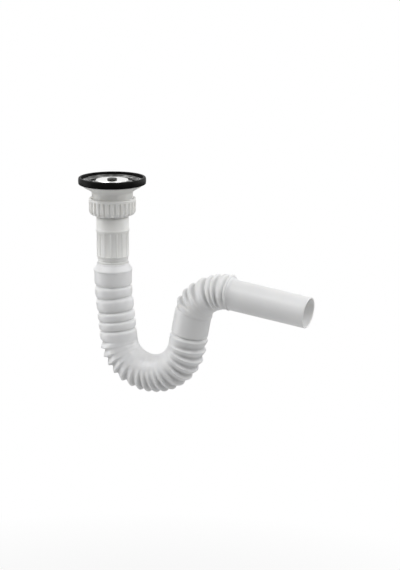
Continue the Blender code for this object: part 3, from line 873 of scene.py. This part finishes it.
def fold_rings(edges, phases, radius):
    """Rings (distance, radius, depth) of a row of folds."""
    rings = []
    for start, end in zip(edges, edges[1:]):
        for phase, depth in phases:
            nearest = start if phase < 0.5 else end
            rings.append((start + phase * (end - start), radius, depth * notch_strength(nearest)))
    return rings


def plain_rings(points):
    """Rings without a fold, from (distance, radius) points."""
    return [(distance, radius, 0.0) for distance, radius in points]


LEG_EDGES = [24.1, 36.9, 51.7, 61.6, 71.4, 83.0]
TRAP_EDGES = packed_edges(83.0, 208.9, [(4, 6.7), (2, 8.1), (5, 6.4), (5, 7.8)])
TURN_EDGES = [233.9, 240.2, 245.6, 251.6, 262.6, 268.3, 272.6, 281.0, 284.0]
OUTLET_START = 286.6
OUTLET_RADIUS = 16.0
OUTLET_STEP = 10.0
OUTLET_RINGS = 8

collar_rings = plain_rings([
    (0.0, 16.4), (0.2, 16.6), (1.2, 16.75), (1.9, 17.1), (2.6, 17.6), (6.5, 20.1), (6.9, 20.3), (8.0, 20.3),
    (8.4, 20.15), (8.7, 19.65), (12.0, 19.6), (17.0, 19.6), (21.0, 19.5), (22.4, 19.1), (23.4, 18.2),
])
cuff_rings = plain_rings([
    (208.9, 18.0), (209.2, 18.8), (209.7, 19.15), (210.6, 19.2), (214.0, 19.2), (219.0, 19.2), (224.0, 19.2),
    (229.0, 19.2), (232.4, 19.15), (233.3, 18.8),
])
outlet_rings = plain_rings([(284.0, 17.4), (284.6, 16.6), (285.4, 16.15), (OUTLET_START, OUTLET_RADIUS)])
for index in range(OUTLET_RINGS):
    outlet_rings += plain_rings([(OUTLET_START + OUTLET_STEP * (index + 1), OUTLET_RADIUS)])
outlet_rings += plain_rings([(HOSE_END - 0.5, OUTLET_RADIUS), (HOSE_END - 0.15, 15.85), (HOSE_END, 15.5)])

outside = collar_rings + fold_rings(LEG_EDGES, LEG_PHASES, CREST) + fold_rings(TRAP_EDGES, BEND_PHASES, CREST)
outside += cuff_rings + fold_rings(TURN_EDGES, BEND_PHASES, TURN_CREST) + outlet_rings

WALL = 1.3
TURN_WALL = 1.95
OUTLET_BORE = 14.4
LEG_LINING = LEG_PHASES[::4]
BEND_LINING = BEND_PHASES[::3]
inside = plain_rings([
    (HOSE_END, 14.9), (HOSE_END - 0.3, 14.5), (HOSE_END - 1.0, OUTLET_BORE), (320.0, OUTLET_BORE),
    (288.0, OUTLET_BORE),
])
inside += reversed(fold_rings(TURN_EDGES, BEND_LINING, CREST - TURN_WALL))
inside += plain_rings([(232.0, 17.9), (211.0, 17.9)])
inside += reversed(fold_rings(TRAP_EDGES, BEND_LINING, CREST - WALL))
inside += reversed(fold_rings(LEG_EDGES, LEG_LINING, CREST - WALL))
inside += plain_rings([(21.0, 18.3), (8.0, 18.3), (6.5, 18.2), (1.2, 16.2), (0.3, 16.2)])
print(len(outside), "outer rings and", len(inside), "inner rings")

# %% [markdown]
# Nesting and pinches
#
# On the inner side of a bend the folds nest into each other until the wall is almost smooth. A table says
# how far round the hose that reaches at each distance: 0 is nowhere and 1 is all the way round. The second
# bend was forced a little, so its inner side is also pinched towards the axis, most of all just before the
# outlet tube, and a second table gives that in millimetres.

# %% Place of a point on the hose
FOLD_DEPTH = 2.3
NEST_SHARE = 0.97
NEST_WIDTH = 0.80
NEST_NARROWING = 0.25
NESTING = [
    (0.0, 0.0), (71.0, 0.0), (80.0, 0.85), (88.0, 0.97), (104.0, 0.86), (160.0, 0.84), (180.0, 0.72),
    (200.0, 0.64), (208.0, 0.40), (215.0, 0.40), (233.0, 0.92), (250.0, 0.92), (262.0, 0.55), (284.0, 0.45),
    (400.0, 0.45),
]
PINCHES = [
    (0.0, 0.0), (234.0, 0.0), (244.0, 1.6), (252.0, 3.2), (262.0, 3.7), (273.0, 4.2), (279.6, 4.4),
    (281.4, 7.4), (283.2, 3.8), (284.4, 1.6), (286.0, 0.0), (400.0, 0.0),
]


def read_table(table, distance):
    """The value at a distance, from a table of (distance, value) with straight lines between."""
    for (before, low), (after, high) in zip(table, table[1:]):
        if distance <= after:
            return low + (high - low) * (distance - before) / (after - before)
    return table[-1][1]


def ring_point(ring, angle):
    """A wall point's place and how deep in a fold it lies; angle 0 is the left of the heading."""
    distance, radius, depth = ring
    x, z, heading, bend = route_at(distance)
    nesting = read_table(NESTING, distance)
    inner = (1.0 + math.copysign(1.0, bend) * math.cos(angle)) / 2
    start = 1.0 - nesting
    pressed = NEST_SHARE * smooth_step((inner - start) / (NEST_WIDTH - NEST_NARROWING * nesting))
    reach = radius - FOLD_DEPTH * depth * (1.0 - pressed) - read_table(PINCHES, distance) * inner**2
    sideways = reach * math.cos(angle)
    place = Vector((
        x - math.sin(heading) * sideways,
        reach * math.sin(angle),
        z + math.cos(heading) * sideways,
    ))
    return place * MM, max(0.0, depth * (1.0 - pressed))


mouth_point = ring_point(outside[0], 0.0)[0]
print("the wall starts at", [round(value, 4) for value in mouth_point])

# %% [markdown]
# The hose itself
#
# A grid has the right structure already: one direction becomes the way along the hose and the other the way
# round it. So one `create_grid` makes the mesh, each column of vertices takes its place on a ring, and
# merging the doubled seam closes the wall. Each vertex also keeps how deep in a fold it lies, which the
# material reads.

# %% Make the hose
HOSE_SIDES = 88
GRID_HALF = 0.5
hose_rings = outside + inside
hose_mesh = bmesh.new()
bmesh.ops.create_grid(hose_mesh, x_segments=len(hose_rings), y_segments=HOSE_SIDES, size=GRID_HALF)
fold_layer = hose_mesh.verts.layers.float.new("fold_depth")
for vert in hose_mesh.verts:
    column = round((vert.co.x + GRID_HALF) * len(hose_rings)) % len(hose_rings)
    row = round((vert.co.y + GRID_HALF) * HOSE_SIDES) % HOSE_SIDES
    vert.co, vert[fold_layer] = ring_point(hose_rings[column], TAU * row / HOSE_SIDES)
hose = new_piece(hose_mesh, "bellows_hose", hose_plastic, "tail", sharp=50.0)
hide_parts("hose")

# %% [markdown]
# Light, backdrop and floor
#
# The photograph was taken in a white tent: the light is soft and comes mostly from above, a little more from
# the left than from the right, and the undersides of the pieces stay grey. Seven large area lamps do that,
# with a dim world to fill in. The camera, and whatever mirrors or glass show, see plain white behind the
# trap. The floor looks white to the camera too, but it throws back less light than such a floor would, which
# keeps the undersides grey. Far out the camera sees it as plain white, and near the trap it keeps a part of
# the shadow.

# %% World
WHITE = (1.0, 1.0, 1.0, 1.0)
FILL_STRENGTH = 0.16
world = bpy.data.worlds.new("white_tent")
bpy.context.scene.world = world
world.use_nodes = True
air = world.node_tree
air.nodes.clear()
rays = air.nodes.new("ShaderNodeLightPath")
seen = maths(air, "MAXIMUM", rays.outputs["Is Camera Ray"], rays.outputs["Is Glossy Ray"])
seen_through = maths(air, "MAXIMUM", seen, rays.outputs["Is Transmission Ray"])
fill = add_node(air, "ShaderNodeBackground", {"Color": WHITE, "Strength": FILL_STRENGTH})
backdrop = add_node(air, "ShaderNodeBackground", {"Color": WHITE, "Strength": 1.0})
either = add_node(air, "ShaderNodeMixShader", {0: seen_through, 1: fill.outputs[0], 2: backdrop.outputs[0]})
add_node(air, "ShaderNodeOutputWorld", {"Surface": either.outputs[0]})
print("world ready")

# %% Lamps
AIM = Vector((0.07, 0.0, -0.11))


def area_lamp(name, place, size, power):
    """A square lamp at a place, pointing at the middle of the trap."""
    data = bpy.data.lights.new(name, "AREA")
    data.shape = "SQUARE"
    data.size = size
    data.energy = power
    lamp = bpy.data.objects.new(name, data)
    bpy.context.scene.collection.objects.link(lamp)
    facing = (AIM - Vector(place)).to_track_quat("-Z", "Y")
    lamp.matrix_world = Matrix.Translation(place) @ facing.to_matrix().to_4x4()


area_lamp("high_left_lamp", (-0.95, -0.2, 1.0), 1.0, 6.0)
area_lamp("high_right_lamp", (1.05, -0.1, 1.0), 1.0, 7.8)
area_lamp("front_left_lamp", (-0.50, -0.80, 1.2), 0.9, 7.4)
area_lamp("front_right_lamp", (1.25, -0.65, 0.35), 0.9, 1.8)
area_lamp("low_left_lamp", (-1.15, -0.45, -0.15), 0.9, 4.8)
area_lamp("right_lamp", (1.15, 0.35, 0.35), 0.9, 1.0)
area_lamp("back_right_lamp", (0.95, 1.0, 0.3), 0.9, 4.8)

# %% Floor
FLOOR_HEIGHT = -0.62
FLOOR_RADIUS = 3.0
FLOOR_SIDES = 96
FLOOR_MIDDLE = 0.1
FLOOR_BOUNCE = 0.72
FLOOR_SEEN = 0.97
NEAR_REACH = 0.20
FAR_REACH = 0.70
NEAR_WHITE = 0.55
floor_mesh = bmesh.new()
bmesh.ops.create_circle(floor_mesh, cap_ends=True, segments=FLOOR_SIDES, radius=FLOOR_RADIUS)
bmesh.ops.translate(floor_mesh, verts=floor_mesh.verts, vec=(FLOOR_MIDDLE, 0.0, FLOOR_HEIGHT))
floor = mesh_object(floor_mesh, "pale_floor")

paper = bpy.data.materials.new("floor_paper")
paper.use_nodes = True
sheet = paper.node_tree
sheet.nodes.clear()
light_path = sheet.nodes.new("ShaderNodeLightPath")
by_camera = light_path.outputs["Is Camera Ray"]
whiter = remap(sheet, axis_distance(sheet), low=NEAR_REACH, high=FAR_REACH, to_low=NEAR_WHITE)
shade = remap(sheet, by_camera, low=0.0, high=1.0, to_low=FLOOR_BOUNCE, to_high=FLOOR_SEEN)
matt = add_node(sheet, "ShaderNodeBsdfDiffuse", {"Color": shade})
plain = add_node(sheet, "ShaderNodeEmission", {"Color": WHITE, "Strength": 1.0})
unlit = maths(sheet, "MULTIPLY", by_camera, whiter)
mixed = add_node(sheet, "ShaderNodeMixShader", {0: unlit, 1: matt.outputs[0], 2: plain.outputs[0]})
add_node(sheet, "ShaderNodeOutputMaterial", {"Surface": mixed.outputs[0]})
floor.data.materials.append(paper)
print("floor at", FLOOR_HEIGHT)

# %% [markdown]
# Finish
#
# The picture is shown without a film look.

# %% View settings
bpy.context.scene.view_settings.view_transform = "Standard"
